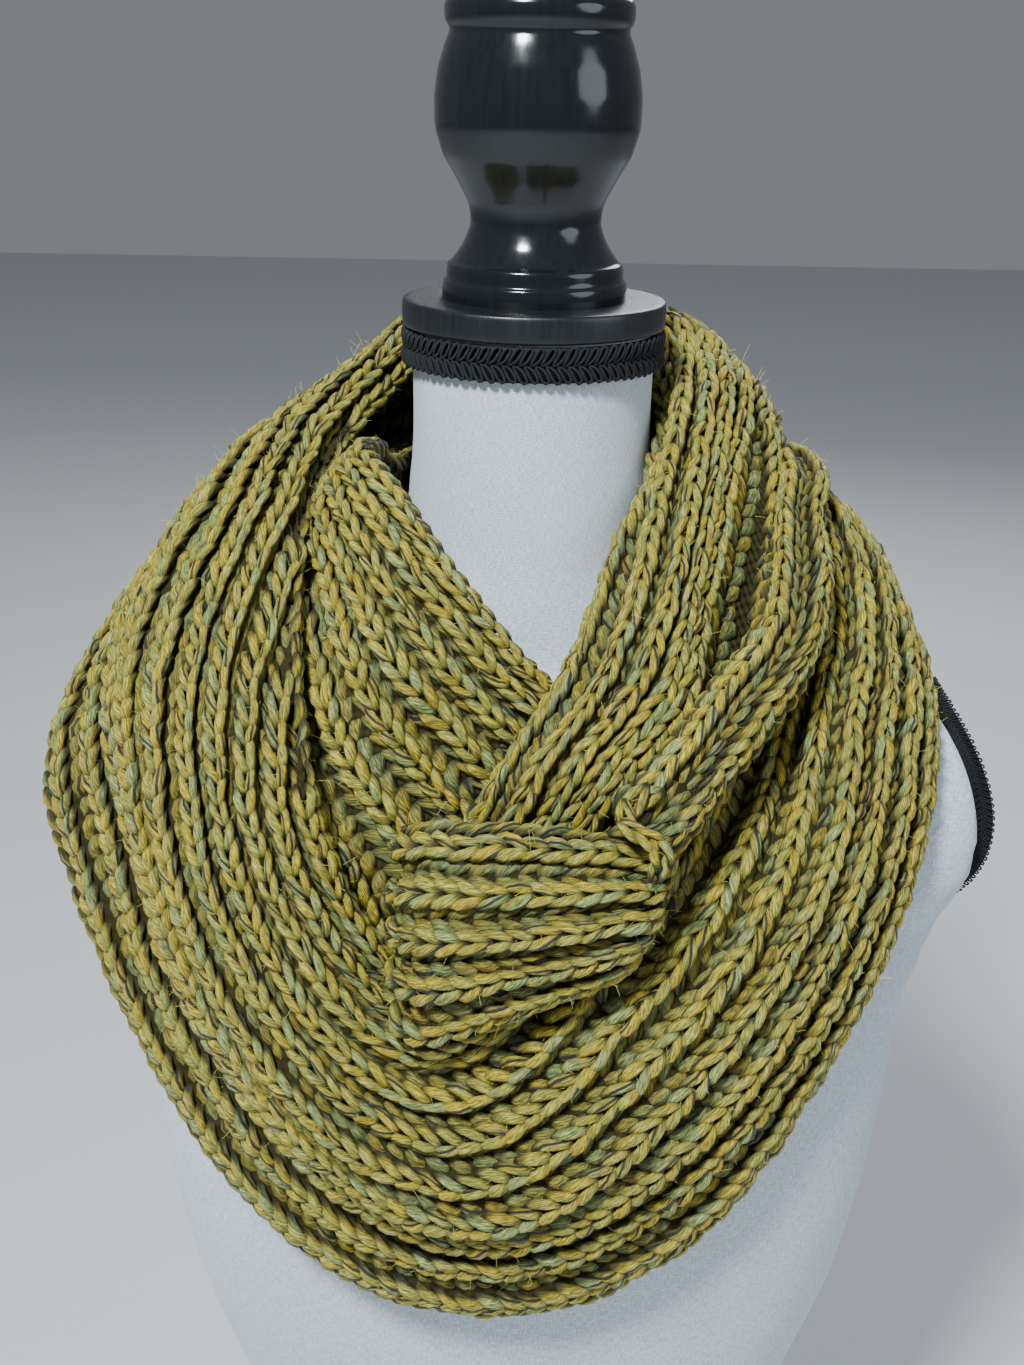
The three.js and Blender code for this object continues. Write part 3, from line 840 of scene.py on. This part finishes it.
def repeatTree(name, material):
    # copies of one shape on points that carry their own ways and size
    tree = bpy.data.node_groups.new(name, "GeometryNodeTree")
    face = tree.interface
    face.new_socket("Geometry", in_out="INPUT", socket_type="NodeSocketGeometry")
    for label, kind in (("Shape", "NodeSocketObject"), ("Turn", "NodeSocketFloat"),
                        ("Vary", "NodeSocketFloat"), ("Seed", "NodeSocketInt")):
        face.new_socket(label, in_out="INPUT", socket_type=kind)
    face.new_socket("Geometry", in_out="OUTPUT", socket_type="NodeSocketGeometry")

    vector, number = {"data_type": "FLOAT_VECTOR"}, {"data_type": "FLOAT"}

    def add(kind, settings=None, links=None):
        made = tree.nodes.new(kind)
        for key, value in (settings or {}).items():
            setattr(made, key, value)
        for key, value in (links or {}).items():
            if isinstance(value, bpy.types.NodeSocket):
                tree.links.new(value, made.inputs[key])
            else:
                made.inputs[key].default_value = value
        return made

    def maths(operation, first, second):
        return add("ShaderNodeMath", {"operation": operation}, {0: first, 1: second}).outputs[0]

    def carried(label):
        return add("GeometryNodeInputNamedAttribute", vector, {"Name": label}).outputs[0]

    def random(low, high, later):
        # a number for each copy, from the tree's seed and a step on from it
        seed = maths("ADD", given["Seed"], later)
        return add("FunctionNodeRandomValue", number, {2: low, 3: high, "Seed": seed}).outputs[1]

    given = add("NodeGroupInput").outputs
    turned = add("FunctionNodeAxesToRotation", {"primary_axis": "Z", "secondary_axis": "Y"},
                 {0: carried("faceWay"), 1: carried("aheadWay")})
    swing = random(maths("MULTIPLY", given["Turn"], -1.0), given["Turn"], 0.0)
    swung = add("FunctionNodeAxisAngleToRotation", {}, {"Axis": (0, 0, 1), "Angle": swing})
    spun = add("FunctionNodeRotateRotation", {"rotation_space": "LOCAL"},
               {0: turned.outputs[0], 1: swung.outputs[0]})
    share = random(maths("SUBTRACT", 1.0, given["Vary"]), maths("ADD", 1.0, given["Vary"]), 7.0)
    scaled = add("ShaderNodeVectorMath", {"operation": "SCALE"}, {0: carried("size"), "Scale": share})
    shape = add("GeometryNodeObjectInfo", {"transform_space": "ORIGINAL"}, {"Object": given["Shape"]})
    placed = add("GeometryNodeInstanceOnPoints", {}, {
        "Points": given["Geometry"], "Instance": shape.outputs["Geometry"],
        "Rotation": spun.outputs[0], "Scale": scaled.outputs[0],
    })
    stored = add("GeometryNodeStoreNamedAttribute", {"data_type": "FLOAT", "domain": "INSTANCE"},
                 {"Geometry": placed.outputs[0], "Name": "shade", "Value": random(0.0, 1.0, 19.0)})
    real = add("GeometryNodeRealizeInstances", {}, {"Geometry": stored.outputs[0]})
    done = add("GeometryNodeSetMaterial", {}, {"Geometry": real.outputs[0], "Material": material})
    add("NodeGroupOutput", {}, {"Geometry": done.outputs[0]})
    return tree


def repeated(name, shape, material, points, ahead, facing, sizes, turn, vary, seed):
    cloud = meshObject(name + "Places", points, [], False)
    for label, values in (("aheadWay", ahead), ("faceWay", facing), ("size", sizes)):
        layer = cloud.data.attributes.new(label, "FLOAT_VECTOR", "POINT")
        layer.data.foreach_set("vector", np.asarray(values).ravel())
    tree = repeatTree(name + "Tree", material)
    modifier = cloud.modifiers.new("repeat", "NODES")
    modifier.node_group = tree
    wanted = {"Shape": shape, "Turn": turn, "Vary": vary, "Seed": seed}
    for item in tree.interface.items_tree:
        if item.in_out == "INPUT" and item.name in wanted:
            modifier[item.identifier] = wanted[item.name]
    cloud.update_tag()
    graph = bpy.context.evaluated_depsgraph_get()
    mesh = bpy.data.meshes.new_from_object(cloud.evaluated_get(graph))
    mesh.name = name
    made = bpy.data.objects.new(name, mesh)
    bpy.context.scene.collection.objects.link(made)
    bpy.data.objects.remove(cloud)
    mesh.shade_smooth()
    return made


def shaken(made, amount, size, seed):
    # loosens the rows a little, as hand-knitted yarn lies
    mesh = made.data
    flat = np.empty(len(mesh.vertices) * 3)
    mesh.vertices.foreach_get("co", flat)
    points = flat.reshape(-1, 3)
    moved = np.stack([softNoise(points, size, seed + k) for k in range(3)], axis=1) * amount
    mesh.vertices.foreach_set("co", (points + moved).ravel())
    mesh.update()


def columnStitches(stretch, column, lift, widths, backwards=False, edge=None, tilt=0.0, inside=False):
    # places, ways and sizes for one column, spaced evenly along the whole ribbon that it belongs to
    start, end = stretch["whole"]
    along, length = columnLine(stretch, column, start, end)
    at = np.interp(np.arange(stitch["pitch"] * stitch["firstAt"], length[-1], stitch["pitch"]), length, along)
    at = at[(at >= stretch["from"]) & (at < stretch["to"])]
    ribs, hidden = ribsAt(stretch, at)
    if edge is None:
        share, room = (column - hidden) / ribs, stitch["edgeRoom"] / ribs
        kept = (share > room) & (share < 1 - room)
        at, ribs = at[kept], ribs[kept]
    if not len(at):
        return None
    across = acrossOf(stretch, at, column) if edge is None else np.full(len(at), float(edge))
    ahead, right, out = ribbonWays(stretch["rows"], at, across)
    points = liftedPoints(stretch, at, across, np.full(len(at), lift))
    if tilt:
        out = unit(out * math.cos(tilt) + unit(right) * math.sin(tilt))
    if inside:
        out = -out
    pitch = 1 / ribs
    if edge is None:
        pitch = acrossOf(stretch, at, column + 0.5) - acrossOf(stretch, at, column - 0.5)
    share, least, most = widths
    wide = np.clip(share * np.linalg.norm(right, axis=1) * pitch, least, most)
    thick = np.clip(wide * stitch["thickShare"], stitch["thickLeast"], stitch["thickMost"])
    halfWide = (wide - thick) / 2 / stitch["legOut"]
    sizes = np.stack([halfWide / stitch["halfWide"], np.ones(len(at)), thick / stitch["thick"]], axis=1)
    return points, ahead if backwards else -ahead, out, sizes


def curlStitches():
    # the edge of the strand where it turns in an S to the fold's corner
    path = np.array(curl["path"])
    length = np.concatenate([[0], np.cumsum(np.linalg.norm(np.diff(path, axis=0), axis=1))])
    count = int(length[-1] / curl["pitch"])
    at = (np.arange(count) + 0.5) * length[-1] / count
    nudge = 0.001
    place, before, after = (np.stack([np.interp(at + k, length, path[:, j]) for j in range(3)], axis=1)
                            for k in (0, -nudge, nudge))
    facing = np.tile(np.array(curl["facing"]), (count, 1))
    return place, unit(before - after), unit(facing), np.tile(np.array(curl["size"]), (count, 1))


def fuzz(name, places, facing, seed):
    # loose fibres that stand off the yarn, each a narrow bent strip
    pick = np.random.default_rng(seed)
    count = len(places) * fibre["each"]
    start = np.repeat(places, fibre["each"], axis=0) + pick.normal(size=(count, 3)) * fibre["scatter"]
    out = np.repeat(facing, fibre["each"], axis=0)
    way = unit(pick.normal(size=(count, 3)) + out * fibre["lean"])
    bend = unit(pick.normal(size=(count, 3)))
    side = unit(np.cross(way, bend)) * fibre["width"] / 2
    reach = pick.uniform(*fibre["length"], size=(count, 1))
    middleBend, endBend = fibre["bend"]
    rings = [start, start + way * reach * 0.5 + bend * reach * middleBend,
             start + way * reach + bend * reach * endBend]
    points = np.stack([ring + side * turn for ring in rings for turn in (1, -1)], axis=1).reshape(-1, 3)
    first = np.arange(count) * 6
    quads = ((0, 1, 3, 2), (2, 3, 5, 4))
    faces = np.concatenate([np.stack([first + k for k in quad], axis=1) for quad in quads])
    made = meshObject(name, points, faces.tolist(), False)
    made.data.materials.append(paints["fibre"])
    return made


def gather(columns):
    # joins the columns' places, their two ways and their sizes
    columns = [c for c in columns if c is not None]
    return [np.concatenate([c[k] for c in columns]) for k in range(4)]


stitchShape = stitchMesh()
knitPieces = {}
wholeRun = (0.0, len(allRows) - 1.0)
for seed, stretch in enumerate(stretches):
    name = stretch["name"]
    stretch["whole"] = wholeRun if name in course else (stretch["from"], stretch["to"])
    ribs, hidden = ribsAt(stretch, np.linspace(stretch["from"], stretch["to"], 60))
    columns = range(int(math.floor(hidden.min() + 0.001)), int(math.ceil((hidden + ribs).max() - 0.001)))
    raised = [columnStitches(stretch, rib + 0.5, stitch["raisedLift"], stitch["raisedWide"])
              for rib in columns]
    for rib, edge, tilt in ((columns[0], 0, -stitch["edgeTilt"]), (columns[-1] + 1, 1, stitch["edgeTilt"])):
        raised.append(columnStitches(stretch, rib, stitch["edgeLift"], stitch["edgeWide"],
                                     edge=edge, tilt=tilt))
    if name == "frontStrand":
        raised.append(curlStitches())
    recessed = [columnStitches(stretch, rib, stitch["recessedLift"], stitch["recessedWide"], backwards=True)
                for rib in columns]
    if name == "backOver":
        recessed += [columnStitches(stretch, rib, stitch["insideLift"], stitch["recessedWide"], inside=True)
                     for rib in columns]
    raised, recessed = gather(raised), gather(recessed)
    pieces = []
    for label, places in (("Raised", raised), ("Recessed", recessed)):
        made = repeated(name + label, stitchShape, paints[label.lower()], *places,
                        stitch["turn"], stitch["vary"], seed * 3 + len(label))
        shaken(made, stitch["shake"], stitch["shakeSize"], seed * 5)
        pieces.append(made)
    pieces.append(fuzz(name + "Fuzz", raised[0] + raised[2] * fibre["standOff"], raised[2], seed))
    knitPieces[name] = pieces
    print(name, "stitches:", len(raised[0]) + len(recessed[0]),
          "triangles:", [sum(len(face.vertices) - 2 for face in piece.data.polygons) for piece in pieces])
bpy.data.objects.remove(stitchShape)

# the dress form


def smoothLevels(step):
    # the torso's rows on a smooth curve, every few millimetres
    heights = torsoRows[:, 0]
    fine = np.unique(np.concatenate([np.arange(0, heights[-1], step), heights]))
    slopes = np.gradient(torsoRows[:, 1:], heights, axis=0)
    i = np.clip(np.searchsorted(heights, fine, side="right") - 1, 0, len(heights) - 2)
    gap = (heights[i + 1] - heights[i])[:, None]
    t = ((fine - heights[i]) / gap[:, 0])[:, None]
    low, high = torsoRows[i, 1:], torsoRows[i + 1, 1:]
    curve = ((2 * t ** 3 - 3 * t ** 2 + 1) * low + (t ** 3 - 2 * t ** 2 + t) * gap * slopes[i]
             + (3 * t ** 2 - 2 * t ** 3) * high + (t ** 3 - t ** 2) * gap * slopes[i + 1])
    straight = low + (high - low) * t
    return fine, straight * (1 - form["curved"]) + curve * form["curved"]


def squared(values, square):
    # cosines and sines of a round outline made squarer
    return np.sign(values) * np.abs(values) ** (2 / square)


def torsoMesh():
    # the linen cover, closed at both ends, with a flat plate at each arm
    sides = form["sides"]
    heights, levels = smoothLevels(form["levelStep"])
    angles = 2 * math.pi * (np.arange(sides) + 0.5) / sides
    points = []
    for z, (wide, deep, mid, square) in zip(heights, levels):
        over = abs(z - armBraid["z"])
        plate = form["plateEdge"] + form["plateSpread"] * (over - form["plateHalf"])
        if over < form["plateHalf"]:
            plate = plateAt(z)
        x = np.clip(wide * squared(np.cos(angles), square), -plate, plate)
        y = mid + deep * squared(np.sin(angles), square)
        points += list(np.stack([x, y, np.full(sides, z)], 1))
    faces, uvs = [], []
    for i in range(len(heights) - 1):
        for k in range(sides):
            n = (k + 1) % sides
            faces.append((i * sides + k, i * sides + n, (i + 1) * sides + n, (i + 1) * sides + k))
            u0, u1 = (j / sides * form["clothRound"] for j in (k, k + 1))
            uvs += [(u0, heights[i]), (u1, heights[i]), (u1, heights[i + 1]), (u0, heights[i + 1])]
    base = len(points)
    points += [(0, levels[0][2], heights[0]), (0, levels[-1][2], heights[-1])]
    top = (len(heights) - 1) * sides
    for k in range(sides):
        n = (k + 1) % sides
        faces.append((base, n, k))
        faces.append((base + 1, top + k, top + n))
        uvs += [(0, 0), (0.01, 0), (0, 0.01)] * 2
    made = meshObject("torsoCover", points, faces, True, uvs)
    made.data.materials.append(paints["linen"])
    return made


def lathe(name, outline, sides, material):
    # an outline of radii and heights, turned round the upright axis
    points, faces, rows = [], [], []
    for radius, z in outline:
        if radius < 1e-6:
            rows.append([len(points)])
            points.append((0, 0, z))
        else:
            rows.append(list(range(len(points), len(points) + sides)))
            turns = [2 * math.pi * k / sides for k in range(sides)]
            points += [(radius * math.cos(turn), radius * math.sin(turn), z) for turn in turns]
    for low, high in zip(rows, rows[1:]):
        for k in range(sides):
            n = (k + 1) % sides
            if len(low) == 1:
                faces.append((low[0], high[n], high[k]))
            elif len(high) == 1:
                faces.append((low[k], low[n], high[0]))
            else:
                faces.append((low[k], low[n], high[n], high[k]))
    made = meshObject(name, points, faces)
    made.data.materials.append(material)
    return made


def roundedOutline(corners):
    # each corner is cut twice, to a short curve
    line = np.array(corners, float)
    for _ in range(2):
        cut = [line[0]]
        for a, b in zip(line, line[1:]):
            reach = min(form["cornerShare"], form["capCorner"] / max(np.linalg.norm(b - a), 1e-9))
            cut += [a + (b - a) * reach, b + (a - b) * reach]
        cut.append(line[-1])
        line = np.array(cut)
    return [tuple(p) for p in line]


torsoCover = torsoMesh()
capBase = form["neckTop"] + form["capGap"]
discTop = capBase + form["capDisc"]
foot = discTop - form["capSunk"]
discOutline = [(r, capBase + h) for r, h in capOutline if h <= form["capDisc"] and r != form["capRim"]]
finialOutline = [(0, foot), (form["capRim"], foot)]
finialOutline += [(r, capBase + h) for r, h in capOutline if h > form["capDisc"]]
capDisc = lathe("capDisc", roundedOutline(discOutline + [(0, discTop)]), form["capSides"], paints["disc"])
capFinial = lathe("capFinial", roundedOutline(finialOutline), form["capSides"], paints["finial"])
print("dress form made")

# the looped braids

# one loop of cord, in metres: along the braid, away from its middle line, over the band
loopPath = [
    (-0.0034, 0.0002, 0.0000), (-0.0026, 0.0018, 0.0004), (-0.0017, 0.0036, 0.0007),
    (-0.0008, 0.0053, 0.0006), (0.0004, 0.0064, 0.0003), (0.0015, 0.0060, 0.0004),
    (0.0015, 0.0047, 0.0006), (0.0008, 0.0032, 0.0006), (-0.0003, 0.0017, 0.0004),
    (-0.0018, 0.0005, 0.0001),
]
loop = {"radius": 0.00062, "sides": 6, "shift": 0.0019, "turn": 0.05, "vary": 0.04}


def loopMesh(flip):
    path = [(flip * away, along, over) for along, away, over in loopPath]
    points, faces, uvs = tube(path, [loop["radius"]] * len(path), loop["sides"], closed=True)
    return meshObject("loopShape", points, faces, True, uvs)


def loopedBraid(name, middle, ahead, facing, size, seed):
    # two rows of loops, one each side of the braid's middle, the second shifted along it
    rows = []
    sizes = np.full((len(middle), 3), size)
    for label, flip in (("Upper", -1), ("Lower", 1)):
        shape = loopMesh(flip)
        places = middle if flip < 0 else middle + ahead * loop["shift"] * size
        rows.append(repeated(name + label, shape, paints["braid"], places, ahead, facing, sizes,
                             loop["turn"], loop["vary"], seed + flip))
        bpy.data.objects.remove(shape)
    return rows


def neckBraidPieces():
    b = neckBraid
    middle = (b["low"] + b["high"]) / 2
    count = int(round(2 * math.pi * b["radius"] / b["pitch"]))
    angle = 2 * math.pi * np.arange(count) / count
    facing = np.stack([np.cos(angle), np.sin(angle), np.zeros(count)], 1)
    ahead = np.stack([-np.sin(angle), np.cos(angle), np.zeros(count)], 1)
    places = facing * (b["radius"] + b["loopsOut"]) + np.array([0, 0, middle])
    near, far = b["radius"] - b["band"], b["radius"]
    low, high = b["low"] + b["bandIn"], b["high"] - b["bandIn"]
    outline = [(near, low), (far, low), (far, high), (near, high), (near, low)]
    band = lathe("neckBraidBand", outline, bandSteps, paints["band"])
    return band, loopedBraid("neckBraid", places, ahead, facing, b["size"], b["seed"])


def armBraidPieces(side, label):
    # the braid stands on the arm plate's rim, with its loops on the outer side
    b = armBraid
    girth = math.pi * (b["halfDeep"] + b["halfTall"] + 2 * b["width"])
    count = int(round(girth / b["pitch"]))
    turns = side * 2 * math.pi * np.arange(count) / count

    def onPlate(turn, out, over):
        z = b["z"] + (b["halfTall"] + out) * np.sin(turn)
        return np.stack([side * (plateAt(z) + over), b["y"] + (b["halfDeep"] + out) * np.cos(turn), z], -1)

    middle = (b["low"] + b["high"]) / 2
    places = onPlate(turns, b["width"], middle)
    nudge = 0.01 * side
    ahead = unit(onPlate(turns + nudge, b["width"], middle) - onPlate(turns - nudge, b["width"], middle))
    facing = unit(onPlate(turns, b["width"], middle) - onPlate(turns, 0.0, middle))
    near, far = b["bandInside"], b["width"] - b["bandIn"]
    corners = ((near, b["low"]), (far, b["low"]), (far, b["high"]), (near, b["high"]))
    bandTurns = [side * 2 * math.pi * k / bandSteps for k in range(bandSteps)]
    points = [tuple(onPlate(turn, out, over)) for turn in bandTurns for out, over in corners]
    faces = []
    for k in range(bandSteps):
        here, there = k * 4, (k + 1) % bandSteps * 4
        for j in range(4):
            n = (j + 1) % 4
            faces.append((here + j, there + j, there + n, here + n))
    band = meshObject("armBraid" + label + "Band", points, faces, False)
    band.data.materials.append(paints["band"])
    return band, loopedBraid("armBraid" + label, places, ahead, facing, b["size"], b["seed"] + side)


neckBand, neckLoops = neckBraidPieces()
leftBand, leftLoops = armBraidPieces(-1, "Left")
rightBand, rightLoops = armBraidPieces(1, "Right")
print("braids made")

# what each piece rides on and stands for, and the name of its finish

formPieces = [
    (torsoCover, "linen", ["torso"]),
    (capDisc, "black_wood", ["neckCap"]),
    (capFinial, "black_wood", []),
    (neckBand, "black_braid", ["neckBraid"]),
    (leftBand, "black_braid", ["armBraidLeft"]),
    (rightBand, "black_braid", ["armBraidRight"]),
]
formPieces += [(loops, "black_braid", []) for loops in neckLoops + leftLoops + rightLoops]
for piece, slot, nodes in formPieces:
    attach(piece, "root")
    if nodes:
        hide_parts(*nodes)

# each stretch's flat width and length, as much of the cut as it shows
flatSizes = {
    "frontLeft": (0.12, 0.22),
    "backUnder": (0.12, 0.26),
    "frontDrape": (0.16, 0.76),
    "backOver": (0.14, 0.22),
    "frontRight": (0.10, 0.24),
    "frontStrand": (0.03, 0.22),
    "frontFold": (0.08, 0.13),
}
for stretch in stretches:
    name = stretch["name"]
    ground = grounds[name]
    for piece in [ground] + knitPieces[name]:
        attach(piece, "root")
    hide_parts(name)
    area = sum(face.area for face in ground.data.polygons) / 2
    wide, long = flatSizes[name]
    print(name, "length", round(stretch["length"], 3), "half area", round(area, 4),
          "share", round(area / (wide * long), 2))

# the floor, the light and the camera

studio = {
    "floor": (0.62, 0.63, 0.65, 1),
    "sky": (0.80, 0.84, 0.90, 1),
    "skyStrength": 0.25,
    "camera": (-0.006, -0.667, 0.770),
    "pitch": 20.5,
    "roll": 1.0,
    "sensor": 36,
    "lens": 1700 / 1365,  # of the picture's height, which the sensor spans
    "floorHalf": 6,
    "lampsAt": (0, 0, 0.45),
}

half = studio["floorHalf"]
floor = meshObject("floor", [(-half, -half, 0), (half, -half, 0), (half, half, 0), (-half, half, 0)],
                   [(0, 1, 2, 3)], False)
floorPaint = Paint("floorPaint")
floor.data.materials.append(floorPaint.finish(Base_Color=studio["floor"], Roughness=0.8))

world = bpy.data.worlds.new("studioSky")
world.use_nodes = True
world.node_tree.nodes["Background"].inputs[0].default_value = studio["sky"]
world.node_tree.nodes["Background"].inputs[1].default_value = studio["skyStrength"]
bpy.context.scene.world = world

# name, place, size, power and colour
lamps = [
    ("keyLamp", (-0.60, -1.35, 2.15), 0.40, 93, (0.90, 0.97, 1.0)),
    ("fillLamp", (1.7, -0.9, 1.2), 1.2, 12, (0.84, 0.93, 1.0)),
    ("backLamp", (0.5, 1.8, 1.7), 1.2, 24, (0.90, 0.95, 1.0)),
]
for name, place, size, power, colour in lamps:
    lamp = bpy.data.lights.new(name, "AREA")
    lamp.shape = "DISK"
    lamp.size, lamp.energy, lamp.color = size, power, colour
    made = bpy.data.objects.new(name, lamp)
    made.location = place
    aim = Vector(studio["lampsAt"]) - Vector(place)
    made.rotation_euler = aim.to_track_quat("-Z", "Y").to_euler()
    bpy.context.scene.collection.objects.link(made)

pitch, roll = math.radians(studio["pitch"]), math.radians(studio["roll"])
forward = Vector((0, math.cos(pitch), -math.sin(pitch)))
levelUp = Vector((0, math.sin(pitch), math.cos(pitch)))
right = math.cos(roll) * Vector((1, 0, 0)) + math.sin(roll) * levelUp
up = math.cos(roll) * levelUp - math.sin(roll) * Vector((1, 0, 0))
cameraData = bpy.data.cameras.new("photoCamera")
cameraData.sensor_width = studio["sensor"]
cameraData.lens = studio["lens"] * studio["sensor"]
camera = bpy.data.objects.new("photoCamera", cameraData)
camera.matrix_world = Matrix((
    (right.x, up.x, -forward.x, studio["camera"][0]),
    (right.y, up.y, -forward.y, studio["camera"][1]),
    (right.z, up.z, -forward.z, studio["camera"][2]),
    (0, 0, 0, 1),
))
bpy.context.scene.collection.objects.link(camera)
bpy.context.scene.camera = camera
print("studio made")
